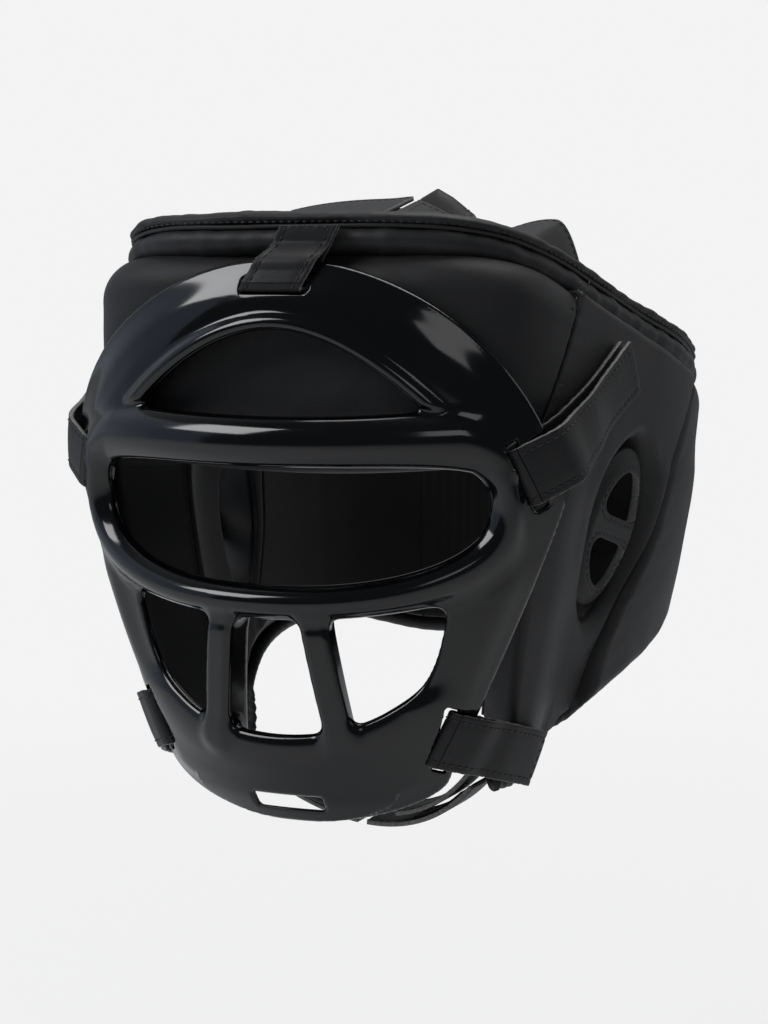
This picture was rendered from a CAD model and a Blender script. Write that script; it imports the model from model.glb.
import bpy
import numpy as np
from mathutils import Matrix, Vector


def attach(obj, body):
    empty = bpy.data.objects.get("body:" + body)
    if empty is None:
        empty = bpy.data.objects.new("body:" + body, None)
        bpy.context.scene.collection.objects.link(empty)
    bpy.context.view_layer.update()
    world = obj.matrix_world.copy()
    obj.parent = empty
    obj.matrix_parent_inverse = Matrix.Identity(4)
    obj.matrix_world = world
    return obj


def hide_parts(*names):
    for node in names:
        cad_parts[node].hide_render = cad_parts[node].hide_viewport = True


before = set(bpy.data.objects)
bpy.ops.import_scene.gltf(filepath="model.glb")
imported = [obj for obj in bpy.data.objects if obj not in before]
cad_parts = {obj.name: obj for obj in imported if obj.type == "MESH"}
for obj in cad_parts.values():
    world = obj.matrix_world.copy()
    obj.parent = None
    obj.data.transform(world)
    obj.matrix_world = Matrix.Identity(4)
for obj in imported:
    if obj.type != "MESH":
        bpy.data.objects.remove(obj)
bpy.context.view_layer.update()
metres = 0.001  # shapes are worked out in millimetres and stored in metres
print("frame loaded:", len(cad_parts), "solids")


# smooth step: 3t^2 - 2t^3, with t held between 0 and 1
def smooth(t):
    t = np.clip(t, 0.0, 1.0)
    return t * t * (3 - 2 * t)


# straight blend from a to b by the share t
def mix(a, b, t):
    return a + (b - a) * t


# bell of height 1 about a place: e to the minus squared distance over its reach
def bell(x, place, reach):
    return np.exp(-((x - place) / reach) ** 2)


# vectors of length 1
def unit(v):
    return v / np.linalg.norm(v, axis=-1, keepdims=True)


# shares from 0 to 1 that crowd towards both ends: the even share blended with its smooth step
def crowded(count):
    even = np.linspace(0, 1, count)
    return mix(even, smooth(even), 0.7)


# point at turn phi in degrees (0 at the face, 90 at the ear), height z and radius r from the head's axis
def polar(phi, z, r):
    turn = np.radians(phi)
    return np.stack(np.broadcast_arrays(r * np.sin(turn), -r * np.cos(turn), z), -1)


# soft unevenness, about -1 to 1: seven sine waves of about that size in seeded directions
def uneven(a, b, size, seed):
    draw = np.random.default_rng(seed)
    total = 0
    for way, phase, stretch in draw.uniform([0, 0, 0.7], [6.28, 6.28, 1.6], (7, 3)):
        total = total + np.sin(6.283 * (a * np.cos(way) + b * np.sin(way)) / (size * stretch) + phase)
    return total / 3.5


# drop of a rounded edge: the quarter circle of radius r at distance x from the edge
def roundOff(x, r):
    return r - np.sqrt(np.maximum(0, r * r - np.maximum(0, r - np.maximum(0, x)) ** 2))


# length along a line of points, from 0 at its start
def lengthAlong(line):
    return np.concatenate([[0], np.cumsum(np.linalg.norm(np.diff(line, axis=0), axis=1))])


# smooth line through knots: cubic pieces whose slopes follow each knot's neighbours
def curveThrough(knots, shares):
    knots = np.asarray(knots, float)
    reach = lengthAlong(knots)
    slope = np.gradient(knots, reach, axis=0)
    where = shares * reach[-1]
    i = np.clip(np.searchsorted(reach, where, side="right") - 1, 0, len(reach) - 2)
    span = (reach[i + 1] - reach[i])[:, None]
    t = (where - reach[i])[:, None] / span
    start = (2 * t ** 3 - 3 * t * t + 1) * knots[i] + (t ** 3 - 2 * t * t + t) * span * slope[i]
    return start + (3 * t * t - 2 * t ** 3) * knots[i + 1] + (t ** 3 - t * t) * span * slope[i + 1]


# four-sided faces of a grid of points, closed round in either direction
def gridFaces(rows, cols, roundRows=False, roundCols=False):
    i = np.arange(rows if roundRows else rows - 1)[:, None]
    j = np.arange(cols if roundCols else cols - 1)[None, :]
    k, n = (i + 1) % rows, (j + 1) % cols
    corners = np.broadcast_arrays(i * cols + j, i * cols + n, k * cols + n, k * cols + j)
    return np.stack(corners, -1).reshape(-1, 4)


# closed body from two facing grids: each row runs out over a and back over b, and open rows get caps
def closeBody(a, b, roundRows=False):
    points = np.concatenate([a, b[:, ::-1]], 1)
    rows, cols = points.shape[:2]
    faces = [gridFaces(rows, cols, roundRows, True)]
    if not roundRows:
        i = np.arange(cols // 2 - 1)
        cap = np.stack([i, i + 1, cols - 2 - i, cols - 1 - i], -1)
        faces += [cap[:, ::-1], cap + (rows - 1) * cols]
    return points, np.concatenate(faces)


# thick body: the outer grid, the inner grid, and side walls of four steps between their long edges
def thickBody(outer, inner, roundRows=False):
    def wall(j, shares):
        return mix(outer[:, j, None], inner[:, j, None], np.array(shares)[None, :, None])
    a = np.concatenate([wall(0, [0.3, 0.1]), outer, wall(-1, [0.1, 0.3])], 1)
    b = np.concatenate([wall(0, [0.6, 0.9]), inner, wall(-1, [0.9, 0.6])], 1)
    return closeBody(a, b, roundRows)


# tube: rings of points joined along a path, closed into a loop or capped with four-sided faces
def tubeBody(rings, loop=False):
    rows, sides = rings.shape[:2]
    if loop:
        return rings, gridFaces(rows, sides, True, True)
    half = sides // 2
    return closeBody(rings[:, :half], rings[:, :half - 1:-1])


# puts a shape into Blender as a piece: faces turned outwards by the sign of the volume, smooth shading,
# marks kept as point attributes, and the piece tied to its body and to the solids that it stands for
def makePiece(name, body, shape, material, stands=(), marks=None, normals=None):
    points, faces = shape
    points = np.asarray(points, float).reshape(-1, 3)
    a, b, c, d = (points[faces[:, k]] for k in range(4))
    volume = (a * (np.cross(b, c) + np.cross(c, d))).sum()
    if volume < 0:
        faces = faces[:, ::-1]
    mesh = bpy.data.meshes.new(name)
    mesh.vertices.add(len(points))
    mesh.vertices.foreach_set("co", (points * metres).astype(np.float32).ravel())
    mesh.loops.add(faces.size)
    mesh.loops.foreach_set("vertex_index", faces.astype(np.int32).ravel())
    mesh.polygons.add(len(faces))
    mesh.polygons.foreach_set("loop_start", np.arange(0, faces.size, 4, dtype=np.int32))
    mesh.polygons.foreach_set("use_smooth", np.ones(len(faces), bool))
    mesh.update(calc_edges=True)
    mesh.validate()
    for mark, values in (marks or {}).items():
        layer = mesh.attributes.new(mark, "FLOAT", "POINT")
        layer.data.foreach_set("value", np.asarray(values, np.float32).ravel())
    if normals is not None:
        mesh.normals_split_custom_set_from_vertices(normals.tolist())
    mesh.materials.append(material)
    piece = bpy.data.objects.new(name, mesh)
    bpy.context.scene.collection.objects.link(piece)
    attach(piece, body)
    if stands:
        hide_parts(*stands)
    return piece


# the same shape on the other side of the head
def mirrored(points):
    return points * np.array([-1.0, 1.0, 1.0])


# materials: each from what the real surface is

# sRGB hex colour to linear light
def linear(colour):
    c = np.array([int(colour[i:i + 2], 16) for i in (1, 3, 5)]) / 255
    return (*np.where(c <= 0.04045, c / 12.92, ((c + 0.055) / 1.055) ** 2.4).tolist(), 1.0)


# adds a node, sets its properties or sockets, links its sockets, and gives its outputs
def addNode(tree, kind, settings=(), links=()):
    node = tree.nodes.new("ShaderNode" + kind)
    for name, value in dict(settings).items():
        if isinstance(name, str) and hasattr(node, name):
            setattr(node, name, value)
        else:
            node.inputs[name].default_value = value
    for name, source in dict(links).items():
        tree.links.new(source, node.inputs[name])
    return node.outputs


# empty material with its nodes and the object's coordinates
def newMaterial(name):
    material = bpy.data.materials.new(name)
    material.use_nodes = True
    tree = material.node_tree
    tree.nodes.clear()
    return material, tree, addNode(tree, "TexCoord")["Object"]


# colour that goes from dark to light by a share
def toned(tree, dark, light, share):
    return addNode(tree, "Mix", {"data_type": "RGBA", 6: linear(dark), 7: linear(light)}, {0: share})[2]


# cloudy pattern whose patches are about size metres wide
def cloudy(tree, coords, size, detail):
    return addNode(tree, "TexNoise", {"Scale": 1 / size, "Detail": detail}, {"Vector": coords})["Fac"]


# value carried from 0 and 1 to low and high
def ranged(tree, value, low, high):
    return addNode(tree, "MapRange", {"To Min": low, "To Max": high}, {"Value": value})[0]


# two values joined by a math operation
def joined(tree, operation, a, b):
    return addNode(tree, "Math", {"operation": operation}, {0: a, 1: b})[0]


# two shaders blended by a share
def blended(tree, share, a, b):
    return addNode(tree, "MixShader", {}, {0: share, 1: a, 2: b})[0]


# first value times a factor, plus the second
def weighted(tree, first, factor, second):
    return addNode(tree, "Math", {"operation": "MULTIPLY_ADD", 1: factor}, {0: first, 2: second})[0]


# relief of a height pattern, depth metres deep
def relief(tree, height, strength, depth):
    return addNode(tree, "Bump", {"Strength": strength, "Distance": depth}, {"Height": height})[0]


# mark kept on the points of a mesh
def marked(tree, name):
    return addNode(tree, "Attribute", {"attribute_name": name})["Fac"]


# ends a material with a principled surface
def closeMaterial(tree, settings, links):
    addNode(tree, "OutputMaterial", {}, {"Surface": addNode(tree, "BsdfPrincipled", settings, links)[0]})


# calendered synthetic leather: a thin matte skin with a fine pebbled grain, slightly uneven in tone, near black
# where lining cloth is marked as turned over it, and pale woven backing where a cut edge is marked raw
def leatherMaterial(name, dark, light, rough, grain, rawEdge=None):
    material, tree, coords = newMaterial(name)
    tone = cloudy(tree, coords, 0.028, 4)
    pebble = addNode(tree, "TexVoronoi", {"feature": "SMOOTH_F1", "Scale": 1 / grain}, {"Vector": coords})
    height = weighted(tree, cloudy(tree, coords, 0.0005, 2), 0.4, pebble["Distance"])
    colour = addNode(tree, "Mix", {"data_type": "RGBA", 7: linear("#060607")},
                     {0: marked(tree, "lined"), 6: toned(tree, dark, light, tone)})[2]
    if rawEdge:
        worn = addNode(tree, "Math", {"operation": "MULTIPLY_ADD", 1: 0.9, 2: -0.1},
                       {0: cloudy(tree, coords, 0.0012, 3)})[0]
        sharp = addNode(tree, "MapRange", {"From Min": 0.35, "From Max": 0.85}, {"Value": marked(tree, "raw")})
        colour = addNode(tree, "Mix", {"data_type": "RGBA"},
                         {0: sharp[0], 6: colour, 7: toned(tree, *rawEdge, worn)})[2]
    closeMaterial(tree, {"IOR": 1.46, "Specular IOR Level": 0.3, "Sheen Weight": 0.03, "Sheen Roughness": 0.5},
                  {"Base Color": colour, "Roughness": ranged(tree, tone, rough - 0.06, rough + 0.08),
                   "Normal": relief(tree, height, 0.35, 0.0002)})
    return material


waveLength = 0.314  # metres between the bands of a wave pattern of scale 1


# woven polyester lining: crossing threads 0.9 mm apart, drawn coarser than the real 0.4 mm so that they show
def clothMaterial(name, dark, light, spacing):
    material, tree, coords = newMaterial(name)
    waves = [addNode(tree, "TexWave",
                     {"bands_direction": axis, "Scale": waveLength / spacing, "Distortion": 0.6},
                     {"Vector": coords})["Fac"] for axis in ("X", "Z")]
    weave = joined(tree, "MULTIPLY", *waves)
    closeMaterial(tree, {"Roughness": 0.88, "Sheen Weight": 0.05, "Sheen Roughness": 0.4},
                  {"Base Color": toned(tree, dark, light, weave), "Normal": relief(tree, weave, 0.12, 0.0003)})
    return material


# nylon hook-and-loop tape: a dense nap of hooks or loops, matte, with lighter tips
def napMaterial(name, dark, light, nap):
    material, tree, coords = newMaterial(name)
    tips = addNode(tree, "TexVoronoi", {"Scale": 1 / nap}, {"Vector": coords})["Distance"]
    height = weighted(tree, tips, -0.7, cloudy(tree, coords, 3 * nap, 5))
    closeMaterial(tree, {"Roughness": 0.8, "Sheen Weight": 0.3},
                  {"Base Color": toned(tree, dark, light, height), "Normal": relief(tree, height, 0.9, 0.0006)})
    return material


# injection-moulded polycarbonate, black: a polished skin with a faint swell from the mould and fine handling haze
def plasticMaterial(name, dark, light, rough):
    material, tree, coords = newMaterial(name)
    haze = cloudy(tree, coords, 0.035, 6)
    closeMaterial(tree, {"IOR": 1.5},
                  {"Base Color": toned(tree, dark, light, haze),
                   "Roughness": ranged(tree, haze, rough - 0.04, rough + 0.1),
                   "Normal": relief(tree, cloudy(tree, coords, 0.012, 1), 0.05, 0.0006)})
    return material


# bonded nylon thread: two plies twisted every 1.2 mm, a little shinier than the leather
def threadMaterial(name, dark, light, twist):
    material, tree, coords = newMaterial(name)
    ply = addNode(tree, "TexWave", {"bands_direction": "DIAGONAL", "Scale": waveLength / twist},
                  {"Vector": coords})["Fac"]
    closeMaterial(tree, {"Roughness": 0.5}, {"Base Color": toned(tree, dark, light, ply)})
    return material


padLeather = leatherMaterial("calendered_leather", "#1d1d1e", "#262627", 0.54, 0.0012)
rollLeather = leatherMaterial("soft_binding_leather", "#1f1f20", "#2a2a2b", 0.5, 0.001)
strapLeather = leatherMaterial("strap_leather", "#1a1a1b", "#252526", 0.52, 0.0011, ("#4b4b49", "#a3a3a0"))
earLeather = leatherMaterial("ear_panel_leather", "#1b1b1c", "#252526", 0.55, 0.0012, ("#3c3c3b", "#848481"))
liningCloth = clothMaterial("woven_lining", "#0b0b0c", "#101011", 0.0009)
loopNap = napMaterial("loop_tape", "#101011", "#2a2a2c", 0.0011)
hookNap = napMaterial("hook_tape", "#0c0c0d", "#242426", 0.0013)
mouldedPlastic = plasticMaterial("moulded_polycarbonate", "#040405", "#07080a", 0.08)
sewingThread = threadMaterial("nylon_thread", "#141415", "#262628", 0.0012)
print("materials made")


# stitching: collected per body and turned into one piece each at the end

threadRuns = {}
thread = dict(pitch=3.6, long=2.7, thick=0.42, lift=0.1, arch=0.16, thinning=0.85, sides=6,
              shares=(-1, -0.6, 0, 0.6, 1))


# run of stitches along a line: short threads of round section that thin and dip in at both ends
def stitch(body, line, up):
    reach = lengthAlong(line)
    count = int(reach[-1] // thread["pitch"])
    where = (np.arange(count) + 0.5) * reach[-1] / max(count, 1)

    def along(values, at):
        return np.stack([np.interp(at, reach, values[:, k]) for k in range(3)], -1)
    normal = unit(along(up, where))[:, None, None]
    forward = unit(along(line, where + 0.6) - along(line, where - 0.6))[:, None, None]
    middle = along(line, where)[:, None, None] + thread["lift"] * normal
    t = np.array(thread["shares"])[None, :, None, None]
    turn = np.radians(np.arange(thread["sides"]) * 360 / thread["sides"])[None, None, :, None]
    radius = thread["thick"] * np.sqrt(1 - thread["thinning"] * t * t)
    points = middle + thread["long"] / 2 * t * forward + thread["arch"] * (1 - 2 * t * t) * normal
    points = points + radius * (np.cos(turn) * np.cross(forward, normal) + np.sin(turn) * normal)
    ends = np.array([[3, 2, 1, 0], [5, 4, 3, 0]])
    rings = len(thread["shares"])
    last = (rings - 1) * thread["sides"]
    faces = np.concatenate([gridFaces(rings, thread["sides"], False, True), ends, ends[:, ::-1] + last])
    threadRuns.setdefault(body, []).append((points, faces))


# the padded shell: radius of its faces over turn and height

shell = dict(width=113, front=119, back=140, flare=0.12, waist=0.08, jaw=30, jawTop=20, jawDeep=127, rim=124,
             slope=0.29, hem=-106, hemRise=34, hemLift=(26, 6), liftReach=50, jawStep=14, napeDrop=10,
             cavityWidth=84, cavityFront=96, cavityBack=110, split=172, rearTaper=0.7, lining=2.3,
             seamTurn=51, seamHeight=63, seamLean=0.22, rearTurn=94.2, rearLean=0.08, rearSwing=11.5,
             rearTopLean=0.2, padFill=0.9, liningFill=0.5)


# superellipse in plan: ((|sin|/width)^n + (|cos|/reach)^n) to the power -1/n, with its own reach front and back
def planRadius(phi, width, front, back, n):
    s, c = np.abs(np.sin(np.radians(phi))), np.cos(np.radians(phi))
    return ((s / width) ** n + (np.abs(c) / np.where(c > 0, front, back)) ** n) ** (-1 / n)


# draw-in towards the jaw: a power curve of the depth below its top
def taper(z):
    return shell["jaw"] * (np.maximum(0, shell["jawTop"] - z) / shell["jawDeep"]) ** 1.25


# outer face of the shell: the superellipse, drawn in behind the cheeks by smooth steps of height and turn, narrowed
# by a share k of the taper, and flared behind the ears
def padRadius(phi, z, k=1.0):
    t = k * taper(z)
    n = np.where(np.cos(np.radians(phi)) > 0, 3.8 + 0.7 * smooth((z - 25) / 45), 3.5)
    waist = shell["waist"] * smooth((70 - z) / 50)
    flare = 1 + (shell["flare"] + waist) * smooth((np.abs(phi) - 50) / 75)
    drawn = 1 - waist * smooth((np.abs(phi) - 55) / 20)
    return flare * planRadius(phi, shell["width"] * drawn - t, shell["front"] - 0.55 * t,
                              shell["back"] * drawn - 0.4 * t, n)


# inner face, against the head: a rounder superellipse with most of the taper
def cavityRadius(phi, z):
    t = 0.7 * taper(z)
    return planRadius(phi, shell["cavityWidth"] - t, shell["cavityFront"] - 0.5 * t,
                      shell["cavityBack"] - 0.3 * t, 3.0)


# height of the pads' top edge: falls steadily towards the back
def topHeight(phi):
    return shell["rim"] - shell["slope"] * (shell["front"] - padRadius(phi, 60.0) * np.cos(np.radians(phi)))


# height of the hem: smooth steps up behind the jaw and behind the ears, and one down at the nape
def lowHeight(phi):
    p = np.abs(phi)
    return (shell["hem"] + shell["jawStep"] * smooth((p - 64) / 22) + shell["hemRise"] * smooth((p - 66) / 80)
            - shell["napeDrop"] * smooth((p - 140) / 25))


# height on the inner face for a height on the outer one: a smooth step lifts its lower end over the hem, most of
# all beside the jaw
def innerHeight(phi, z):
    lift = mix(*shell["hemLift"], smooth((np.abs(phi) - 105) / 30))
    return z + lift * smooth(1 - (z - lowHeight(phi)) / shell["liftReach"])


# turn of the forehead seam, a leaning straight line
def seamTurn(z):
    return shell["seamTurn"] + (z - shell["seamHeight"]) * shell["seamLean"]


# turn of the seam behind the ear: a leaning line that swings back by a smooth step and leans more above it
def rearTurn(z):
    return (shell["rearTurn"] + shell["rearLean"] * z + shell["rearSwing"] * smooth((z + 60) / 59)
            + shell["rearTopLean"] * np.maximum(0, z - 20))


# one pad: its outer face lies below the shell's radius by drop, its inner face on the lining
def padBody(phi, z, drop, k=1.0, roundRows=False):
    outer = polar(phi, z, padRadius(phi, z, k) - drop)
    z = innerHeight(phi, z)
    return thickBody(outer, polar(phi, z, cavityRadius(phi, z) + shell["lining"]), roundRows)


quilt = dict(thick=2.0, swell=1.6, press=1.2, every=45, at=22, reach=2.5, share=0.6)


# lining of one pad: a thin quilted layer that swells a little towards the head between its sewn lines
def liningBody(phi, z, across, roundRows=False):
    z = innerHeight(phi, z)
    inner = cavityRadius(phi, z)
    sewn = bell((np.abs(phi) + quilt["at"]) % quilt["every"], quilt["at"], quilt["reach"])
    swell = quilt["swell"] * np.sqrt(np.clip(1 - (2 * across - 1) ** 2, 0, 1)) - quilt["press"] * sewn
    back, face = inner + quilt["thick"], inner - quilt["share"] * swell
    return thickBody(polar(phi, z, back), polar(phi, z, face), roundRows)


oneSide = (("", np.asarray),)
bothSides = (("_right", np.asarray), ("_left", mirrored))


# pads of one kind, one in the middle or one on each side of the head, and linings from a thinned grid
def makePads(kind, grid, thin, sides, k=1.0, roundRows=False, marks=None):
    phi, z, drop, share = grid
    pad, padFaces = padBody(phi, z, drop, k, roundRows)
    lining, liningFaces = liningBody(phi[thin], z[thin], share[thin], roundRows)
    for side, put in sides:
        cushion = makePiece(kind + "_pad" + side, "shell", (put(pad), padFaces), padLeather,
                            [kind + "_cover" + side, kind + "_foam" + side], marks)
        cloth = makePiece(kind + "_lining_cloth" + side, "shell", (put(lining), liningFaces), liningCloth,
                          [kind + "_lining" + side])


forehead = dict(columns=130, rows=70, browHeight=30, browLift=6, seamEdge=1.6, topEdge=15, lowEdge=10, span=112,
                topTurn=60, pucker=0.15, swell=(0.35, 0.15), seamLines=(-1.6, 1.8), seamEnds=(36, 112))


# forehead pad: u runs from seam to seam and s from the brow up to the rim; edges drop by quarter circles
def foreheadGrid():
    u = (2 * crowded(forehead["columns"]) - 1)[:, None]
    s = crowded(forehead["rows"])[None, :]
    low, top = forehead["browHeight"] + forehead["browLift"] * u * u, topHeight(u * forehead["topTurn"])
    z = mix(low, top, s)
    phi = u * seamTurn(z)
    fromSeam, fromTop, fromLow = (1 - np.abs(u)) * forehead["span"], (1 - s) * (top - low), s * (top - low)
    pucker = forehead["pucker"] * np.exp(-fromSeam / 6) * np.sin(z / 1.5 + 2 * uneven(phi, z, 30, 3))
    drop = np.maximum(roundOff(fromTop, forehead["topEdge"]), roundOff(fromLow, forehead["lowEdge"]))
    drop = np.maximum(drop, roundOff(fromSeam, forehead["seamEdge"]))
    broad, fine = forehead["swell"]
    drop = drop + pucker - broad * uneven(2 * phi, z, 55, 4) - fine * uneven(2 * phi, z, 17, 5)
    return phi, z, drop, s + 0 * u


makePads("forehead", foreheadGrid(), np.s_[::2, ::2], oneSide)
seamZ = np.linspace(*forehead["seamEnds"], 90)
for side in (-1, 1):  # two stitched lines along each forehead seam
    for step in forehead["seamLines"]:
        turn = side * (seamTurn(seamZ) + step)
        stitch("shell", polar(turn, seamZ, padRadius(turn, seamZ) - 0.5), polar(turn, 0 * seamZ, 1.0))

sidePad = dict(counts=(64, 54, 64, 44, 84), edges=(5, 1.6, 5, 5, 4), edgeBlur=19, rows=52, earEdge=7, gap=0.35,
               topBack=68.0, lowBack=-86.0, topFront=108.0, cheekTop=30, cheekTurns=(46, 50), earTurn=87.5,
               earHeight=0, earLong=42, earWide=26.5, earLean=16, earPower=1.8, perDegree=1.97,
               hemPucker=(0.9, 0.25), seamPucker=0.15, bolster=0.9, swell=0.25)


# outline of a side pad in turn and height: rim, forehead seam, cheek edge, hem, and rear seam
def sideOutline():
    gap, cheekTop, (cheekHigh, cheekLow) = sidePad["gap"], sidePad["cheekTop"], sidePad["cheekTurns"]
    t = [np.linspace(0, 1, n, endpoint=False) for n in sidePad["counts"]]
    topTurn, lowTurn = rearTurn(sidePad["topBack"]), rearTurn(sidePad["lowBack"])
    frontTurn = seamTurn(sidePad["topFront"])
    rimTurn = mix(topTurn, frontTurn + gap, t[0])
    seamHeight = mix(topHeight(frontTurn), cheekTop, t[1])
    cheekHeight = mix(cheekTop, lowHeight(float(cheekLow)), t[2])
    hemTurn = mix(cheekLow, lowTurn - gap, t[3])
    rearHeight = mix(lowHeight(lowTurn), topHeight(topTurn), t[4])
    turns = [rimTurn, seamTurn(seamHeight) + gap, mix(cheekHigh, cheekLow, t[2]), hemTurn,
             rearTurn(rearHeight) - gap]
    heights = [topHeight(rimTurn), seamHeight, cheekHeight, lowHeight(hemTurn), rearHeight]
    return np.concatenate(turns), np.concatenate(heights)


# ear opening on the ray from its centre to each outline point: a leaning superellipse with pointed ends
def earOutline(turns, heights):
    turn, height, perDegree = sidePad["earTurn"], sidePad["earHeight"], sidePad["perDegree"]
    a, b = (turns - turn) * perDegree, heights - height
    lean, n = np.radians(sidePad["earLean"]), sidePad["earPower"]
    t = np.arctan2(a, b) - lean
    long, wide = np.abs(np.cos(t)) / sidePad["earLong"], np.abs(np.sin(t)) / sidePad["earWide"]
    r = (long ** n + wide ** n) ** (-1 / n)
    return turn + r * np.sin(t + lean) / perDegree, height + r * np.cos(t + lean)


# side pad: rays from the outline in to the ear opening; both edges drop by quarter circles
def sideGrid():
    turns, heights = sideOutline()
    earTurns, earHeights = earOutline(turns, heights)
    s = crowded(sidePad["rows"])[None, :]
    phi, z = mix(turns[:, None], earTurns[:, None], s), mix(heights[:, None], earHeights[:, None], s)
    tall = np.hypot((turns - earTurns) * sidePad["perDegree"], heights - earHeights)[:, None]
    edge = np.repeat(np.array(sidePad["edges"], float), sidePad["counts"])
    spread, half = np.hanning(sidePad["edgeBlur"]), sidePad["edgeBlur"] // 2
    edge = np.concatenate([edge[-half:], edge, edge[:half]])
    edge = np.convolve(edge, spread / spread.sum(), "valid")[:, None]
    fromEdge, fromEar = s * tall, (1 - s) * tall
    outside, ear = roundOff(fromEdge, edge), roundOff(fromEar, sidePad["earEdge"])
    drop = (outside ** 4 + ear ** 4) ** 0.25
    nearHem = np.exp(-np.maximum(0, z - lowHeight(phi)) / 16) * smooth((95 - phi) / 10)
    broad, fine = sidePad["hemPucker"]
    drop = drop + nearHem * (broad * uneven(2 * phi, 0.5 * z, 15, 6) + fine * uneven(2 * phi, z, 7, 7))
    nearSeam = np.exp(-np.abs(phi - seamTurn(z)) * 2 / 7) * smooth((z - 32) / 6)
    drop = drop + sidePad["seamPucker"] * nearSeam * np.sin(z / 1.5 + 2 * uneven(phi, z, 30, 8))
    bolster = sidePad["bolster"] * bell(fromEar, 11, 6) * smooth((34 - z) / 14)
    return phi, z, drop - bolster - sidePad["swell"] * uneven(2 * phi, z, 40, 9), s + 0 * tall


grid = sideGrid()
rows, cols = grid[0].shape
lined = np.tile(np.repeat([0.0, 1.0, 0.0], [cols + 2, cols + 4, 2]), (rows, 1))  # inner face and ear wall
makePads("side", grid, np.s_[::2, ::3], bothSides, roundRows=True, marks={"lined": lined})

rearPad = dict(columns=120, rows=90, span=110, frontEdge=4, splitEdge=6, topEdge=10, hemEdge=12, hemPucker=0.35,
               frontPucker=0.5, swell=0.3)


# rear pad: u runs from the side seam to the back split, s from the hem up to the rim
def rearGrid():
    u = crowded(rearPad["columns"])[:, None]
    s = crowded(rearPad["rows"])[None, :]
    lowTurn, topTurn = rearTurn(sidePad["lowBack"]), rearTurn(sidePad["topBack"])
    low, top = mix(lowTurn, shell["split"], u), mix(topTurn, shell["split"], u)
    swing = rearTurn(mix(lowHeight(lowTurn), topHeight(topTurn), s)) - mix(lowTurn, topTurn, s)
    phi = mix(low, top, s) + (1 - u) * (swing + sidePad["gap"])
    z = mix(lowHeight(low), topHeight(top), s)
    tall = topHeight(top) - lowHeight(low)
    edges = ((u * rearPad["span"], "frontEdge"), ((1 - u) * rearPad["span"], "splitEdge"),
             ((1 - s) * tall, "topEdge"), (s * tall, "hemEdge"))
    drop = sum(roundOff(x, rearPad[name]) ** 4 for x, name in edges) ** 0.25
    nearHem = np.exp(-s * tall / 14)
    nearFront = np.exp(-u * rearPad["span"] / 12)
    drop = drop + rearPad["hemPucker"] * nearHem * uneven(2 * phi, 0.5 * z, 13, 11)
    drop = drop - rearPad["swell"] * uneven(2 * phi, z, 45, 12)
    return phi, z, drop + rearPad["frontPucker"] * nearFront * uneven(phi, z, 12, 13), s + 0 * u


makePads("rear", rearGrid(), np.s_[::2, ::2], bothSides, shell["rearTaper"])
print("pads made")

# each roll: height over the pads' edge, inset, half height, half depth, wave, pucker and seed
rims = dict(rows=360, sides=24, side=4, corner=6, fill=0.8, sewnUp=12.4, sewnIn=3.6,
            lower=(4.6, 9.5, 6.2, 7.6, 0.3, 0.06, 20), upper=(13.9, 9.5, 3.1, 6.7, 0.9, 0.07, 30),
            piping=(10.7, 4.2, 0.9, 0.9, 0.3, 0.03, 20))


# step of the rim in from the pads' face: smooth steps along the sides, and a bell at the front corners
def rimStep(phi):
    p = np.abs(phi)
    return (rims["side"] * smooth((p - 15) / 25) * (1 - smooth((p - 95) / 20))
            + rims["corner"] * bell(p, 48, 16))


# rings of a roll: at each turn an ellipse about its height and radius, sized by a function of turn and angle
def rollRings(phi, z, r, settings, halfHeight, halfDepth, sized):
    t = np.linspace(0, 2 * np.pi, settings["sides"], endpoint=False)[None, :]
    size = sized(t)
    return polar(phi, z + halfHeight * size * np.sin(t), r + halfDepth * size * np.cos(t))


# roll round the crown: an ellipse carried along the pads' top edge, with puckers that follow its length
def rimBody(name):
    up, inset, halfHeight, halfDepth, wave, pucker, seed = rims[name]
    phi = np.linspace(-180, 180, rims["rows"], endpoint=False)[:, None]
    ring = np.radians(phi)
    around = 120 * np.sin(ring), 120 * np.cos(ring)
    height = topHeight(phi) + up + wave * uneven(*around, 60, seed)
    radius = padRadius(phi, topHeight(phi)) - inset - rimStep(phi)

    def sized(t):
        return 1 + pucker * (uneven(*around, 9, seed + 1) + 0.6 * uneven(0 * phi, t * 3, 6, seed))
    return tubeBody(rollRings(phi, height, radius, rims, halfHeight, halfDepth, sized), True)


for name in ("lower", "upper"):
    roll = makePiece("rim_roll_" + name, "shell", rimBody(name), rollLeather, ["rim_" + name + "_roll"])
makePiece("rim_piping", "shell", rimBody("piping"), rollLeather)
turn = np.linspace(-179, 179, 600)
edge = topHeight(turn)
line = polar(turn, edge + rims["sewnUp"], padRadius(turn, edge) - rimStep(turn) - rims["sewnIn"])
stitch("shell", line, polar(turn, 0 * turn, 1.0))

hem = dict(rows=150, sides=14, halfHeight=3.9, halfDepth=5.2, inset=9, rearInset=15, gap=-1.5, scallop=(0.02, 0.09))


# hem binding: a flat roll under the pads' lower edge, gathered into small scallops
def hemRings():
    phi = np.linspace(sidePad["cheekTurns"][1], shell["split"], hem["rows"])[:, None]
    z = lowHeight(phi) - hem["halfHeight"] - hem["gap"]
    rear = smooth((phi - rearTurn(sidePad["lowBack"]) + 4) / 8)
    r = padRadius(phi, z, mix(1.0, shell["rearTaper"], rear)) - mix(hem["inset"], hem["rearInset"], rear)
    gather = np.sin(phi * 1.9) + uneven(2 * phi, 0 * phi, 9, 40)
    scallop = 1 + mix(*hem["scallop"], smooth((92 - phi) / 14)) * gather
    return rollRings(phi, z, r, hem, hem["halfHeight"], hem["halfDepth"], lambda t: scallop)


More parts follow.
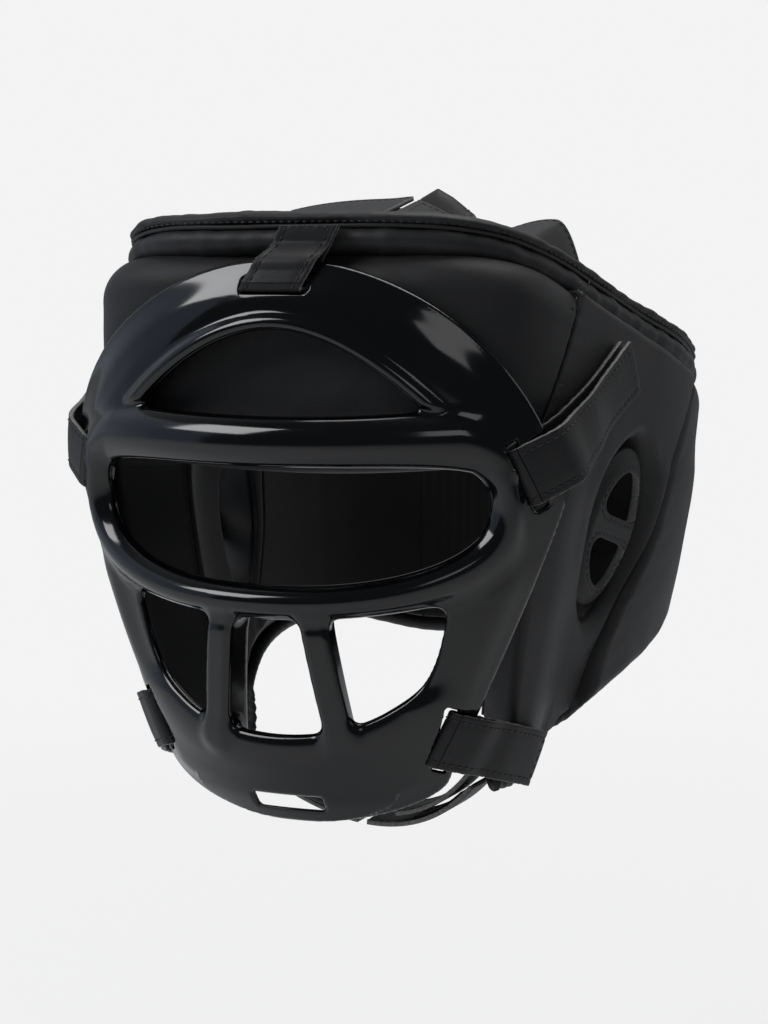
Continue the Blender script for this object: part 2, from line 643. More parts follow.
points, faces = tubeBody(hemRings())
for side, put in bothSides:
    makePiece("hem_roll" + side, "shell", (put(points), faces), rollLeather, ["hem_binding" + side])
print("rims and hems made")


# straps: a flat section carried along a path; place(w, h) gives the point w across and h over the middle

strap = dict(width=25, thick=2.2, inset=3.0, press=0.32, pressReach=0.8, bevel=0.35, fray=0.18, tape=0.8, gap=0.3)
strapShares = np.concatenate([[0, 0.003], np.linspace(0.02, 0.98, 64), [0.997, 1]])
strapRows = len(strapShares)


# strap body: both faces with pressed lines near the edges, bevelled corners, cut edges marked raw
def strapBody(place, half, thick, press, cut, seed):
    inset, bevel = strap["inset"], min(strap["bevel"], thick / 3)
    left = np.array([0, bevel, inset - 1.1, inset, inset + 1.1, half * 0.6]) - half
    w = np.concatenate([left, [0], -left[::-1]])[None, :]
    along = np.arange(strapRows)[:, None] * 1.7
    rim = np.abs(w) > half - 0.01
    w = w + np.where(rim, strap["fray"] * uneven(along, 9 * w, 5, seed), 0)
    corner = np.where(rim, bevel, 0)
    dent = press * bell(np.abs(w), half - inset, strap["pressReach"]) + corner
    a, b = place(w, thick / 2 - dent), place(w, -thick / 2 + corner + 0 * along)
    raw = np.broadcast_to(rim, a.shape[:2]).astype(float).copy()
    for row, isCut in zip((0, -1), cut):
        if isCut:
            raw[row] = 1
    points, faces = closeBody(a, b)
    return points, faces, np.concatenate([raw, raw[:, ::-1]], 1)


# stitched border of a strap: lines along both edges, and one across each end marked sewn
def borderStitches(body, place, half, thick, sewn, put):
    edge = half - strap["inset"]
    top = thick / 2 - strap["press"]

    def run(w, part):
        line, over = (place(w, np.full(w.shape, h))[part] for h in (top, top + 1))
        stitch(body, put(line), put(over - line))
    for w in (-edge, edge):
        run(np.full((strapRows, 1), w), (slice(2 if sewn[0] else 0, -2 if sewn[1] else None), 0))
    for isSewn, row in zip(sewn, (3, -4)):
        if isSewn:
            run(np.linspace(-edge, edge, 12)[None, :] + np.zeros((strapRows, 1)), row)


# path strap: middle line and half-width direction in space; its normal is their cross product
def pathPlace(path, side):
    forward = unit(np.gradient(path, axis=0))
    side = unit(np.broadcast_to(side, path.shape))
    normal = unit(np.cross(forward, side))
    return lambda w, h: path[:, None] + w[..., None] * side[:, None] + h[..., None] * normal[:, None]


# leather strap: pressed and stitched along its edges and across its sewn ends; its cut ends are raw
def leatherStrap(name, body, place, half, node, sewn, seed, put=np.asarray, cut=None, thick=strap["thick"]):
    points, faces, raw = strapBody(place, half, thick, strap["press"], cut or sewn, seed)
    makePiece(name, body, (put(points), faces), strapLeather, [node], {"raw": raw})
    borderStitches(body, place, half, thick, sewn, put)


# hook or loop tape: a thin strap, neither pressed nor stitched
def nylonTape(name, body, place, half, material, node, seed, put=np.asarray):
    points, faces, raw = strapBody(place, half, strap["tape"], 0.0, (0, 0), seed)
    makePiece(name, body, (put(points), faces), material, [node], {"raw": raw})


crown = dict(width=44, top=140, midY=8, tilt=0.22, fold=-4, end=82, flap=-68, rise=4.7, tapeStep=1.74, slack=13,
             curl=0.8, arch=18, archReach=104, turnDown=26, turnFrom=68, turnReach=13)


# arch over the head: a cube law to the sides that turns down steeply at its ends by a square law
def domeHeight(x):
    over = np.maximum(0, np.abs(x) - crown["turnFrom"]) / crown["turnReach"]
    return crown["top"] - crown["arch"] * (np.abs(x) / crown["archReach"]) ** 3 - crown["turnDown"] * over ** 2


# crown strap: runs across the arch, tilted forward; its lift goes from one value to another, slack sinks a soft
# fold into it and curl lifts its inner end
def crownPlace(x0, x1, lift0, lift1, slack=0.0, curl=0.0):
    x = mix(x0, x1, strapShares)
    z = domeHeight(x) + mix(lift0, lift1, strapShares) - slack * bell(x, 34, 24) + curl * bell(x, crown["fold"], 7)
    return pathPlace(np.stack([x, 0 * x + crown["midY"], z], -1), np.array([0.0, 1.0, crown["tilt"]]))


half = crown["width"] / 2 * np.hypot(1, crown["tilt"])
rise, step, fold, end, flap, curl = (crown[k] for k in ("rise", "tapeStep", "fold", "end", "flap", "curl"))
leatherStrap("crown_band_left", "shell", crownPlace(-end, fold + 4, 0, 0), half, "crown_strap_left", (0, 1), 50)
leatherStrap("crown_band_right", "shell", crownPlace(fold + 2.5, end, rise, 0, crown["slack"], curl), half,
             "crown_strap_right", (1, 0), 51)
leatherStrap("crown_tab", "crown_tab", crownPlace(flap, fold, rise, rise, 0, curl), half, "crown_flap", (1, 0), 52,
             cut=(1, 1))
nylonTape("crown_loops", "shell", crownPlace(flap + 4, fold - 6, step, step), half - 3, loopNap,
          "crown_loop_tape", 53)
nylonTape("crown_hooks", "crown_tab", crownPlace(flap + 4, fold - 12, rise - step, rise - step), half - 3, hookNap,
          "crown_flap_hook", 54)

tongue = dict(half=17, wider=6, back=139, sink=11, thick=3.3, fall=75, fallReach=132, hump=36.5, humpY=52, reach=14,
              pinch=15)


# tongue: a falling square law with a bell-shaped peak whose edges hang lower, so that it is pinched like a tent
def tonguePlace(w, h):
    share = strapShares[:, None]
    y = mix(tongue["back"], 0.0, share)
    ridge = np.sqrt((w / tongue["half"]) ** 2 + 0.02) - 0.14
    peak = bell(y, tongue["humpY"], tongue["reach"]) * (tongue["hump"] - tongue["pinch"] * ridge)
    z = crown["top"] - tongue["sink"] - tongue["fall"] * (y / tongue["fallReach"]) ** 2 + peak
    x = -w * (1 + tongue["wider"] / tongue["half"] * (1 - share))
    return np.stack(np.broadcast_arrays(x, y, z + h), -1)


leatherStrap("crown_tongue_leather", "shell", tonguePlace, tongue["half"], "crown_tongue", (0, 1), 55,
             thick=tongue["thick"])

backStrap = dict(half=21, height=-47, low=2.5, sewn=146, fold=166, foldGap=1.7, end=210, loopsFrom=191,
                 hooksFrom=192, hooksUnder=0.7)


# band on the rear pads: follows their face between two turns at a height over it
def backPlace(p0, p1, height):
    p = mix(p0, p1, strapShares)[:, None]

    def place(w, h):
        z = backStrap["height"] + w
        return polar(p + 0 * w, z + 0 * p, padRadius(p, z, shell["rearTaper"]) + height + h)
    return place


half, fold, end, low = (backStrap[k] for k in ("half", "fold", "end", "low"))
level = low + strap["thick"] / 2
leatherStrap("back_band", "shell", backPlace(backStrap["sewn"], fold - backStrap["foldGap"], level), half,
             "back_strap", (1, 0), 60)
leatherStrap("back_tab", "back_tab", backPlace(fold, end, level), half, "back_flap", (0, 1), 61)
nylonTape("back_loops", "shell", backPlace(backStrap["loopsFrom"], end - 2, strap["gap"] + strap["tape"] / 2),
          half - 2, loopNap, "back_loop_field", 62)
nylonTape("back_hooks", "back_tab", backPlace(backStrap["hooksFrom"], end - 2, low - backStrap["hooksUnder"]),
          half - 3, hookNap, "back_flap_hook", 63)

# gusset behind the split: a thin cloth inside the linings, with soft upright folds that fade to its ends
gusset = dict(turns=(164, 196), heights=(-62, 34), fold=0.5, outer=1.5, inner=2.4, flat=(0.0605, 0.0965))
p, share = np.linspace(*gusset["turns"], 40)[:, None], np.linspace(0, 1, 50)[None, :]
z = mix(*gusset["heights"], share)
gather = gusset["fold"] * np.sin(p * 2.2) * (1 - (2 * share - 1) ** 2)
inside = cavityRadius(p + 0 * z, z + 0 * p)
shape = thickBody(polar(p, z, inside - gusset["outer"] - gather), polar(p, z, inside - gusset["inner"] - gather))
gussetCloth = makePiece("back_gusset_cloth", "shell", shape, liningCloth, ["back_gusset"])

chin = dict(left=(-68, -46, -91), drop=(50, -88, -154), right=(68, -46, -91), fold=0.46, end=0.85, half=12.5,
            rightFrom=0.56, hooksFrom=0.62, padFrom=0.12, padThick=6, padWider=4, padFill=0.8)


# chin strap: a curve of three points with square weights, moved along its own normal by lift
def chinPlace(t0, t1, lift):
    t = mix(t0, t1, strapShares)[:, None]
    left, low, right = (np.array(chin[k], float) for k in ("left", "drop", "right"))
    path = left * (1 - t) ** 2 + low * 2 * t * (1 - t) + right * t * t
    forward = unit((low - left) * (1 - t) + (right - low) * t)
    return pathPlace(path + lift * unit(np.cross(forward, [0, 1, 0])), np.array([0.0, 1.0, 0.0]))


half, fold, end = chin["half"], chin["fold"], chin["end"]
leatherStrap("chin_band_left", "shell", chinPlace(0, fold - 0.03, -rise), half, "chin_strap_left", (0, 0), 70)
leatherStrap("chin_band_right", "shell", chinPlace(chin["rightFrom"], 1, 0), half, "chin_strap_right", (1, 0), 71)
leatherStrap("chin_tab", "chin_tab", chinPlace(fold, end, -rise), half, "chin_flap", (0, 1), 72)
nylonTape("chin_hooks", "chin_tab", chinPlace(chin["hooksFrom"], end - 0.04, step - rise), half - 2, hookNap,
          "chin_flap_hook", 73)

# chin pad on the strap: its fullness falls off by power laws towards its sides and ends
place = chinPlace(chin["padFrom"], fold - 0.04, (strap["thick"] + chin["padThick"]) / 2 + strap["gap"] - rise)
share, half = strapShares[:, None], half + chin["padWider"]
w = np.sin(np.linspace(-1, 1, 31) * np.pi / 2)[None, :] * half + 0 * share
fullness = np.clip(1 - (np.abs(w) / half) ** 3, 0.02, 1) * np.clip(1 - np.abs(2 * share - 1) ** 8, 0.02, 1)
fullness = chin["padThick"] / 2 * fullness ** 0.25
chinCushion = makePiece("chin_cushion", "shell", closeBody(place(w, fullness), place(w, -fullness)), padLeather,
                        ["chin_pad"])
print("crown, back and chin straps made")


# closed surface where a field on a regular grid passes zero: one point in each mixed cell, at the mean of
# its edge crossings, and one face round each crossed grid edge
def surfaceNet(field, origin, step):
    inside = field < 0
    size = np.array(field.shape) - 1
    total, count = np.zeros((*size, 3)), np.zeros(size)

    def corner(values, o):
        return values[o[0]:o[0] + size[0], o[1]:o[1] + size[1], o[2]:o[2] + size[2]]
    for axis in range(3):
        for j in (0, 1):
            for k in (0, 1):
                o = np.zeros(3, int)
                o[(axis + 1) % 3], o[(axis + 2) % 3] = j, k
                a, b = corner(field, o), corner(field, o + np.eye(3, dtype=int)[axis])
                crossed = (a < 0) != (b < 0)
                t = np.where(crossed, a / np.where(crossed, a - b, 1), 0)
                total += crossed[..., None] * o
                total[..., axis] += t
                count += crossed
    mixed = count > 0
    number = np.full(size, -1)
    number[mixed] = np.arange(mixed.sum())
    points = origin + (np.argwhere(mixed) + total[mixed] / count[mixed][:, None]) * step
    faces = []
    for axis in range(3):
        order = (axis, (axis + 1) % 3, (axis + 2) % 3)
        inner, cells = np.transpose(inside, order), np.transpose(number, order)
        i, j, k = np.nonzero(inner[:-1, 1:-1, 1:-1] != inner[1:, 1:-1, 1:-1])
        quad = np.stack([cells[i, j, k], cells[i, j + 1, k], cells[i, j + 1, k + 1], cells[i, j, k + 1]], -1)
        outwards = inner[i, j + 1, k + 1][:, None]
        faces.append(np.where(outwards, quad, quad[:, ::-1]))
    return points, np.concatenate(faces)


# slope of a field at points, by central differences
def fieldSlope(field, points, h=0.12):
    step = np.eye(3) * h
    return np.stack([(field(*(points + e).T) - field(*(points - e).T)) / (2 * h) for e in step], -1)


# points moved on to the zero of a field along its slope, three short steps
def settle(field, points):
    for _ in range(3):
        slope = fieldSlope(field, points)
        move = field(*points.T) / np.maximum((slope ** 2).sum(-1), 0.05)
        points = points - np.clip(move, -0.8, 0.8)[:, None] * slope
    return points


# flat distance to a curve given by a rough function: its value over the length of its slope
def flatDistance(rough, x, z, h=0.1):
    a = (rough(x + h, z) - rough(x - h, z)) / (2 * h)
    b = (rough(x, z + h) - rough(x, z - h)) / (2 * h)
    return rough(x, z) / np.sqrt(a * a + b * b + 1e-6)


# the nearer of two fields, with a fillet of size k where they meet
def filletUnion(a, b, k):
    return np.minimum(a, b) - np.maximum(0, k - np.abs(a - b)) ** 2 / (4 * k)


# the further of two fields, with a corner rounded by k
def roundMeet(a, b, k):
    return np.maximum(a, b) + np.maximum(0, k - np.abs(a - b)) ** 2 / (4 * k)


# distance to a box with round corners: p and q past its faces, corner radius r
def boxDistance(p, q, r):
    p, q = p + r, q + r
    return np.hypot(np.maximum(p, 0), np.maximum(q, 0)) + np.minimum(np.maximum(p, q), 0) - r


# flat plate with rounded edges: flat distance f, depth d between 0 and its thickness, edge radius r
def plate(f, d, thick, r):
    return boxDistance(f, np.abs(d - thick / 2) - thick / 2, r)


# body of a solid given by its field: meshed on a grid within its limits, then settled on to the field's zero
def fieldBody(solid, settings):
    grids = [np.arange(low, high, settings["step"]) for low, high in settings["limits"]]
    field = solid(*np.meshgrid(*grids, indexing="ij", sparse=True))
    points, faces = surfaceNet(field, np.array([g[0] for g in grids]), settings["step"])
    return settle(solid, points), faces


# slots: place across and up, lean, length and width
cage = dict(step=1.25, limits=((-122.1, 122.5), (-124, 126), (-9, 20)), front=144, nose=12, bow=0.00133, sweep=6,
            sweepFrom=-85, sweepReach=33, bend=(0.0069, -0.000028, 0.00000003), wall=4, edge=1.7, wide=116.5,
            middle=20, up=101, down=141, eyeWide=92, eyeTop=17, eyeDeep=36, eyeHeight=21, eyeSag=2, bead=4.6,
            beadOver=4.9, beadUnder=1.6, proud=5, browHalf=68, browCorner=58, browSag=4, browRise=34, mouthHalf=75,
            mouthTop=-21, mouthDeep=60, mouthDip=7, barTop=(20, -20), barLow=(29, -82), barHalf=6, barDeep=17,
            barEdge=3.2, barStart=9.5, swell=2.0, sunk=1.0, flank=2.2, slotCorner=1.5,
            slots=((0, 110, 90, 30, 6), (0, -111, 90, 33, 7), (103, 32, -27, 31, 7), (68, -81, 20, 30, 7)))


# middle line of the cage, a square law about its foremost height with an extra sweep under the chin
def cageLine(z):
    under = np.maximum(0, cage["sweepFrom"] - z) / cage["sweepReach"]
    return -cage["front"] + cage["bow"] * (z - cage["nose"]) ** 2 + cage["sweep"] * under ** 2


# bend of the cage's level section, one over its radius: a square law of the height
def cageBend(z):
    a, b, c = cage["bend"]
    return a + b * z + c * z * z


# point of the cage at x across, height z and depth d below its outer face: a level arc about its own centre
def cagePoint(x, z, d):
    r = 1 / cageBend(z)
    s = np.clip(x / r, -0.98, 0.98)
    return np.stack([(r - d) * s, cageLine(z) + r - (r - d) * np.sqrt(1 - s * s), z + 0 * d], -1)


# outline: an ellipse above the widest height, and below it a tapering width closed by a quarter ellipse
def cageOutline(x, z):
    over = np.hypot(x / cage["wide"], (z - cage["middle"]) / cage["up"]) - 1
    s = np.clip((cage["middle"] - z) / cage["down"], 0, 1)
    closing = np.sqrt(np.maximum(0.004, 1 - (np.maximum(0, s - 0.85) / 0.15) ** 2))
    half = cage["wide"] * (1 - 0.5 * s ** 1.1) * closing
    under = np.maximum(np.abs(x) - half, cage["middle"] - cage["down"] - z)
    return np.where(z > cage["middle"], over * cage["wide"], under)


# eye opening in its own shares a across and b up: a squarish half over its corners and a rounder one below them;
# gives the distance share of the outline and how far up or down each place lies on it
def eyeShape(x, z):
    a = np.abs(x / cage["eyeWide"])
    rise = z - cage["eyeHeight"]
    over = rise > 0
    b = np.where(over, np.abs(rise + cage["eyeSag"] * (1 - np.minimum(a * a, 1))) / cage["eyeTop"],
                 np.abs(rise) / cage["eyeDeep"])
    n = np.where(over, 5.0, 2.41)
    reach = (a ** n + b ** n + 1e-9) ** (1 / n)
    return reach - 1, (b / reach) ** (n / 2), over


# eye opening's outline
def eyeOutline(x, z):
    return eyeShape(x, z)[0]


# distance to the eye opening: that of its outline, and over its corners at least that of a box with round ends
def eyeDistance(x, z):
    rise = z - cage["eyeHeight"] + cage["eyeSag"] * (1 - np.minimum((x / cage["eyeWide"]) ** 2, 1))
    ends = np.hypot(np.maximum(0, np.abs(x) - cage["eyeWide"] + cage["eyeTop"]), rise) - cage["eyeTop"]
    return np.maximum(flatDistance(eyeOutline, x, z), np.where(z > cage["eyeHeight"], ends, -cage["eyeDeep"]))


# half width of the rim round the eyes: narrow at the corners, broad over the brow, less so below
def eyeBead(x, z):
    away, over = eyeShape(x, z)[1:]
    return cage["bead"] + np.where(over, cage["beadOver"], cage["beadUnder"]) * smooth(1.4 * away)


# window over the brow: above a sagging sill and under an arch, with small round corners
def browOutline(x, z):
    u = np.abs(x / cage["browHalf"])
    sill = cage["browCorner"] - cage["browSag"] * (1 - u * u)
    arch = cage["browCorner"] + cage["browRise"] * (1 - u ** 1.9)
    return roundMeet(sill - z, (z - arch) / np.sqrt(1 + (0.95 * u ** 0.9) ** 2), 5)


# mouth opening: under a dipping edge and inside a bowl that narrows as it goes down
def mouthOutline(x, z):
    u = np.abs(x) / cage["mouthHalf"]
    top = cage["mouthTop"] - cage["mouthDip"] * (1 - np.minimum(u * u, 1.3))
    deep = np.clip((cage["mouthTop"] - z) / cage["mouthDeep"], 0, 1.4)
    bowl = np.sqrt((u / (1 - 0.17 * deep)) ** 2 + deep ** 4 + 1e-9) - 1
    return roundMeet(bowl * 60, z - top, 8)


# distance to a slot: a leaning rounded box, stretched to the width it has on the bent face
def slotDistance(x, z, slot):
    sx, sz, lean, long, wide = slot
    turn = np.sqrt(1 - (sx * cageBend(sz)) ** 2)
    a, b, lean = (np.abs(x) - sx if sx else x) / turn, z - sz, np.radians(lean)
    across, along = a * np.cos(lean) - b * np.sin(lean), a * np.sin(lean) + b * np.cos(lean)
    return boxDistance(np.abs(across) - wide / 2, np.abs(along) - long / 2, cage["slotCorner"])


# distance to the middle line of a face bar
def barDistance(x, z):
    a, b = np.array(cage["barTop"], float), np.array(cage["barLow"], float)
    px, pz, way = np.abs(x) - a[0], z - a[1], b - a
    t = np.clip((px * way[0] + pz * way[1]) / (way @ way), 0, 1)
    return np.hypot(px - t * way[0], pz - t * way[1])


# flat distances of the cage's outline, openings and bars
def cageFlat(x, z):
    outline = flatDistance(cageOutline, x, z)
    eye, brow = eyeDistance(x, z), browOutline(x, z)
    mouth = flatDistance(mouthOutline, x, z)
    slots = np.minimum.reduce([slotDistance(x, z, slot) for slot in cage["slots"]])
    return outline, eye, brow, mouth, slots, barDistance(x, z)


# solid of the cage in flat coordinates: a rounded plate that swells between its edges and rolls up along its
# flanks, a half-round rim about the eyes, lips about the other openings, and two deep bars, all filleted together
def cageSolid(x, z, d):
    outline, eye, brow, mouth, slots, bar = cageFlat(x, z)
    openings = np.minimum(np.minimum(eye, brow), mouth)
    swell = cage["swell"] * smooth(-outline / 14) * smooth(openings / 14) - cage["sunk"]
    flank = cage["flank"] * bell(outline, -9, 6) * smooth((np.abs(x) - 62) / 25) * smooth((2 - z) / 22)
    cut = np.maximum(np.maximum(outline, -openings), -slots)
    body = plate(cut, d + swell + flank, cage["wall"], cage["edge"])
    half = eyeBead(x, z)
    rim = (np.hypot((eye - half - 0.5) / half, (d - 2) / (cage["proud"] + 2)) - 1) * 6
    body = filletUnion(body, roundMeet(rim, outline + 1, 4), 4)
    lip = np.hypot(brow - 3.2, d - 1.2) - 3.1 + 6 * smooth((62 - z) / 8)
    body = filletUnion(body, lip, 2.5)
    sill = (np.hypot((mouth - 7) / 7, (d - 3) / 4.6) - 1) * 5 + 8 * smooth((z + 68) / 24)
    body = filletUnion(body, sill, 5)
    front = d + 2.5 - 3.5 * smooth((22 - eye) / 16)
    post = plate(bar - cage["barHalf"], front, cage["barDeep"], cage["barEdge"])
    body = filletUnion(body, np.maximum(post, cage["barStart"] - eye), 6)
    return np.maximum(body, -slots)


points, faces = fieldBody(cageSolid, cage)
slope = fieldSlope(cageSolid, points)  # shading follows the field's own slope, carried on to the bent face
ways = [cagePoint(*(points + e).T) - cagePoint(*(points - e).T) for e in np.eye(3) * 0.05]
normals = sum(slope[:, [k]] * np.cross(ways[(k + 1) % 3], ways[(k + 2) % 3]) for k in range(3))
handed = np.sign((ways[0] * np.cross(ways[1], ways[2])).sum(-1, keepdims=True))
makePiece("cage_shell", "cage", (cagePoint(*points.T), faces), mouldedPlastic, ["face_cage"],
          normals=unit(normals * handed))
print("cage made:", len(faces), "faces")


# ear panels: a leaf with two vents, in the flat plane of the ear recess
earPanel = dict(step=0.75, limits=((-28, 28), (-43.1, 43.1), (-1.6, 9.5)), thick=4, edge=0.9, bridge=11, long=41,
                wide=25.8, leafRound=14, ventLong=31, ventWide=19.5, ventShift=3.6, ventRound=11, sunk=3.2, slope=8,
                sewn=2.0, press=0.35, depth=3)


# leaf: the overlap of two discs, as the larger of their distances with rounded ends
def leafDistance(x, y, long, wide):
    r = (long * long + wide * wide) / (2 * wide)
    return roundMeet(np.hypot(x - (r - wide), y), np.hypot(x + (r - wide), y), earPanel["leafRound"]) - r


# vents: a smaller leaf set back from the middle, less the bridge across it
def ventDistance(x, y):
    leaf = leafDistance(x - earPanel["ventShift"], y, earPanel["ventLong"], earPanel["ventWide"])
    return roundMeet(leaf, earPanel["bridge"] / 2 - np.abs(y), earPanel["ventRound"])


# depth of the panel's face: a smooth step down towards its edge and a pressed line round each vent
def earSink(x, y):
    leaf = leafDistance(x, y, earPanel["long"], earPanel["wide"])
    edge = earPanel["sunk"] * smooth((leaf + earPanel["slope"]) / earPanel["slope"])
    return edge + earPanel["press"] * bell(ventDistance(x, y), earPanel["sewn"], 0.8)


# panel in flat coordinates: a sunk plate of leaf outline with the vents cut out
def earSolid(x, y, d):
    edge = np.maximum(leafDistance(x, y, earPanel["long"], earPanel["wide"]), -ventDistance(x, y))
    return plate(edge, d - earSink(x, y), earPanel["thick"], earPanel["edge"])


points, faces = fieldBody(earSolid, earPanel)
turn, height = sidePad["earTurn"], float(sidePad["earHeight"])
turns, heights = turn + np.array([-4.0, 4.0]), height + np.array([-8.0, 8.0])
backwards = np.squeeze(np.diff(polar(turns, height, padRadius(turns, height)), axis=0))
upwards = np.squeeze(np.diff(polar(turn, heights, padRadius(turn, heights)), axis=0))
out = unit(np.cross(backwards, upwards))
across = unit(backwards)
over = np.cross(out, across)
lean = np.radians(sidePad["earLean"])
leafSide = across * np.cos(lean) - over * np.sin(lean)
leafUp = across * np.sin(lean) + over * np.cos(lean)
centre = polar(turn, height, padRadius(turn, height) - earPanel["depth"])


# point of the panel in space from its flat place
def earPoint(x, y, d):
    x, y, d = (np.asarray(v, float)[..., None] for v in (x, y, d))
    return centre + x * leafSide + y * leafUp - d * out


panelPoints = earPoint(*points.T)
raw = (np.abs(ventDistance(points[:, 0], points[:, 1])) < 0.5) & (points[:, 2] > 0.8)
turn, reach = np.radians(np.linspace(0, 360, 160))[:, None], np.linspace(0, 40, 400)[None, :]
for side, put in bothSides:
    makePiece("ear_leaf" + side, "shell", (put(panelPoints), faces), earLeather, ["ear_panel" + side],
              {"raw": raw.astype(float)})
    for sign in (-1, 1):  # stitches round each vent: on every ray from its middle, the first place far enough out
        x = earPanel["ventShift"] + reach * np.sin(turn)
        y = sign * earPanel["ventLong"] / 2 + reach * np.cos(turn)
        first = np.argmax(ventDistance(x, y) > earPanel["sewn"], axis=1)[:, None]
        x, y = (np.take_along_axis(v, first, 1)[:, 0] for v in (x, y))
        line = earPoint(x, y, earSink(x, y))
        stitch("shell", put(line), put(out + 0 * line))
print("ear panels made")


# cage straps: paths of [a, m, h]: a mm from the slot along the strap, m 0 on the pads and 1 on the cage,
# and h mm over that blend of the two

lay = 2 * strap["gap"] + strap["tape"] + strap["thick"] / 2
fasteners = dict(top=dict(slot=(0, 110), way=64, lean=90, perDegree=2.08, rim=13, long=27.5, lay=-0.5),
                 temple=dict(slot=(103, 32), way=30, lean=25, perDegree=2.15, rim=15, long=84, lay=lay),
                 jaw=dict(slot=(68, -81), way=-19, lean=-19, perDegree=1.8, rim=12, long=50, lay=lay))


# radius of the cage's outer face: where the level ray at that turn meets the cage's arc
def cageRadius(phi, z):
    r, turn = 1 / cageBend(z), np.radians(phi)
    c = cageLine(z) + r
    return np.sqrt(np.maximum(0, r * r - (c * np.sin(turn)) ** 2)) - c * np.cos(turn)


# strap laid over pads and cage: its side view is a smooth line through knots, turned into turn and height
def strapPlace(kind, knots):
    path = curveThrough(knots, strapShares)
    at = cagePoint(np.array(float(kind["slot"][0])), np.array(float(kind["slot"][1])), np.array(0.0))
    slotTurn, way, lean = np.degrees(np.arctan2(at[0], -at[1])), np.radians(kind["way"]), np.radians(kind["lean"])

    def base(a, w, m):
        phi = slotTurn + (a * np.cos(way) - w * np.sin(lean)) / kind["perDegree"]
        z = kind["slot"][1] + a * np.sin(way) + w * np.cos(lean)
        pads = padRadius(phi, z)
        return phi, z, mix(pads, np.maximum(cageRadius(phi, z), pads + 3), m)
    a, m, h = path.T
    flat = np.stack([a, base(a, 0 * a, m)[2] + h], -1)
    forward = unit(np.gradient(flat, axis=0))

    def place(w, d):
        w, d = np.broadcast_arrays(w + 0 * a[:, None], d + 0 * a[:, None])
        phi, z, r = base(a[:, None] - d * forward[:, [1]], w, m[:, None])
        return polar(phi, z, r + h[:, None] + d * forward[:, [0]])
    return place


half = strap["width"] / 2
rise = strap["thick"] + 2 * strap["tape"] + 3 * strap["gap"]
slotFold = [[3, 0.7, -4], [-1.2, 1, -4.5], [-2, 1, -1], [-1.8, 1, 0.9], [-0.9, 1, 2.2], [0.8, 1, 2.7]]
for name, kind in fasteners.items():
    rim, long, low = kind["rim"], kind["long"], kind["lay"]
    high = low + rise
    hookFrom, patchFrom = max(mix(rim, long, 0.8), long - 12), max(rim + 4, long - 42)
    run = min(rim + 6, mix(rim, long, 0.4))
    under = strapPlace(kind, [[long, 0, low], [mix(run, long, 0.5), 0, low], [run, 0.03, low],
                              [rim * 0.7, 0.2, 0.3]] + slotFold)
    over = strapPlace(kind, [[0.9, 1, 2.75], [rim * 0.5, 1, 2.7], [rim, 1, 2.4], [mix(rim, long, 0.2), 0.44, 3.2],
                             [mix(rim, long, 0.42), 0.12, high - 1], [hookFrom, 0, high], [long, 0, high]])
    hookFrom = min(hookFrom + 1, long - 3)
    hook = strapPlace(kind, [[mix(hookFrom, long - 0.5, u), 0, high - crown["tapeStep"]] for u in (0, 0.5, 1)])
    patch = strapPlace(kind, [[mix(patchFrom, long - 2, u), 0, 0.7] for u in (0, 0.5, 1)])
    for side, put in oneSide if name == "top" else bothSides:
        label = name + side
        tab = label + "_tab"
        leatherStrap(label + "_strap_leather", "cage", under, half, label + "_strap", (1, 0), 80, put)
        leatherStrap(label + "_tab_leather", tab, over, half, label + "_flap", (0, 1), 81, put)
        nylonTape(label + "_hooks", tab, hook, half - 2, hookNap, label + "_hook", 82, put)
        if side:
            nylonTape(label + "_loops", "shell", patch, half - 1, loopNap, label + "_patch", 83, put)
print("cage straps made")

for body, runs in threadRuns.items():
    points, faces, start = [], [], 0
    for runPoints, runFaces in runs:
        each = np.arange(len(runPoints))[:, None, None] * thread["sides"] * len(thread["shares"]) + runFaces[None]
        points.append(runPoints.reshape(-1, 3))
        faces.append(each.reshape(-1, 4) + start)
        start += len(points[-1])
    makePiece("stitching_" + body, body, (np.concatenate(points), np.concatenate(faces)), sewingThread)


# studio: pale floor, pale backdrop, soft lights and the photograph's camera; each lamp has a name, place in metres,
# width, power and tint

studio = dict(paper="#f3f3f3", floor=-0.32, floorSize=3.0, azimuth=23, elevation=6, distance=1.1, lens=81.98,
              sensor=36, shift=(-13 / 1024, 6 / 1024), worldColour="#c4ccd8", worldStrength=0.14, mirrored=0.3,
              lamps=(("key_left", (-1.1, -1.1, 1.2), 0.8, 14, "#ffffff"),
                     ("key_right", (0.9, -1.5, 0.9), 0.6, 1.8, "#ffffff"),
                     ("wall_left", (-1.7, -0.6, 0.5), 2.0, 5, "#d3e2ff"),
                     ("top", (0.1, 0.3, 1.7), 1.2, 19, "#ffffff"),
                     ("back_right", (1.5, 0.7, 0.7), 0.8, 2.2, "#ffffff")))
corners = ((-1, -1), (1, -1), (1, 1), (-1, 1))


# puts something into the scene under its own name
def addObject(name, data):
    thing = bpy.data.objects.new(name, data)
    bpy.context.scene.collection.objects.link(thing)
    return thing


# turns a lamp or camera so that it looks from its place at the middle of the frame
def aim(thing, place):
    thing.location = place
    thing.rotation_euler = (-Vector(place)).to_track_quat("-Z", "Y").to_euler()


size = studio["floorSize"]
floorMesh = bpy.data.meshes.new("floor")
floorMesh.from_pydata([(sx * size, sy * size, studio["floor"]) for sx, sy in corners], [], [(0, 1, 2, 3)])
addObject("floor", floorMesh)

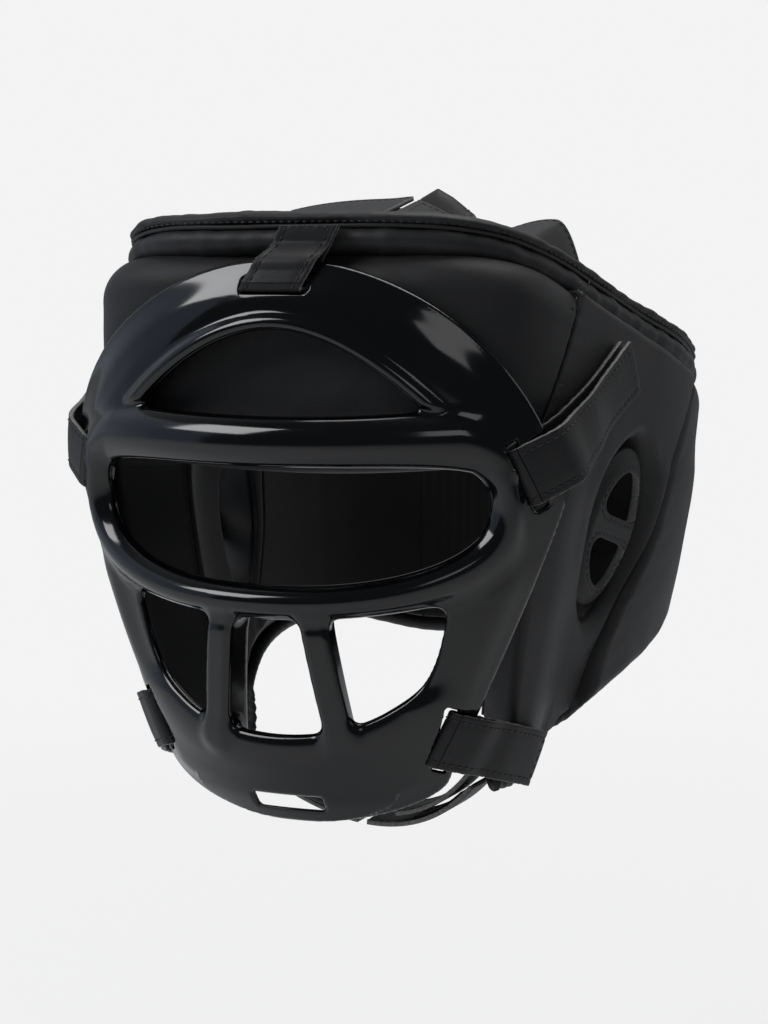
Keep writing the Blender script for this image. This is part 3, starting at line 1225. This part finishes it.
# matt white paper: seen directly it keeps the backdrop's tone and a share of the shadow on it
paper, tree, coords = newMaterial("studio_paper")
rays = addNode(tree, "LightPath")
seen = joined(tree, "MAXIMUM", rays["Is Camera Ray"], rays["Is Transmission Ray"])
fromMiddle = addNode(tree, "VectorMath", {"operation": "LENGTH"}, {0: coords})["Value"]
far = addNode(tree, "MapRange", {"From Min": 0.45, "From Max": 1.3, "To Min": 0.9, "To Max": 1.0},
              {"Value": fromMiddle})[0]
matt = addNode(tree, "BsdfDiffuse", {"Color": linear(studio["paper"])})[0]
glow = addNode(tree, "Emission", {"Color": linear(studio["paper"])})[0]
surface = blended(tree, seen, matt, blended(tree, far, matt, glow))
addNode(tree, "OutputMaterial", {}, {"Surface": surface})
floorMesh.materials.append(paper)

# backdrop: paper where the camera looks at it, a weaker paper for reflections of what lies behind the part, and a
# dim blue-grey light from everywhere else
world = bpy.data.worlds.new("studio")
bpy.context.scene.world = world
world.use_nodes = True
tree = world.node_tree
tree.nodes.clear()
azimuth, elevation = np.radians(studio["azimuth"]), np.radians(studio["elevation"])
towards = np.array([np.sin(azimuth) * np.cos(elevation), -np.cos(azimuth) * np.cos(elevation), np.sin(elevation)])
rays = addNode(tree, "LightPath")
look = addNode(tree, "TexCoord")["Generated"]
behind = addNode(tree, "VectorMath", {"operation": "DOT_PRODUCT", 1: tuple(-towards)}, {0: look})["Value"]
backdrop = addNode(tree, "MapRange", {"From Min": -0.1, "From Max": 0.5}, {"Value": behind})[0]
shiny = joined(tree, "MAXIMUM", rays["Is Glossy Ray"], rays["Is Transmission Ray"])
shiny = joined(tree, "MULTIPLY", shiny, backdrop)
shiny = addNode(tree, "Math", {"operation": "MULTIPLY", 1: studio["mirrored"]}, {0: shiny})[0]
seen = joined(tree, "MAXIMUM", rays["Is Camera Ray"], shiny)
dim = addNode(tree, "Background", {"Color": linear(studio["worldColour"]), "Strength": studio["worldStrength"]})[0]
pale = addNode(tree, "Background", {"Color": linear(studio["paper"])})[0]
addNode(tree, "OutputWorld", {}, {"Surface": blended(tree, seen, dim, pale)})

for name, place, width, power, tint in studio["lamps"]:
    lamp = bpy.data.lights.new(name, "AREA")
    lamp.shape, lamp.size, lamp.energy, lamp.color = "SQUARE", width, power, linear(tint)[:3]
    aim(addObject(name, lamp), place)

lens = bpy.data.cameras.new("photo_camera")
lens.lens, lens.sensor_width = studio["lens"], studio["sensor"]
lens.shift_x, lens.shift_y = studio["shift"]
camera = addObject("photo_camera", lens)
aim(camera, towards * studio["distance"])
bpy.context.scene.camera = camera
bpy.context.scene.view_settings.view_transform = "Standard"
print("studio made")
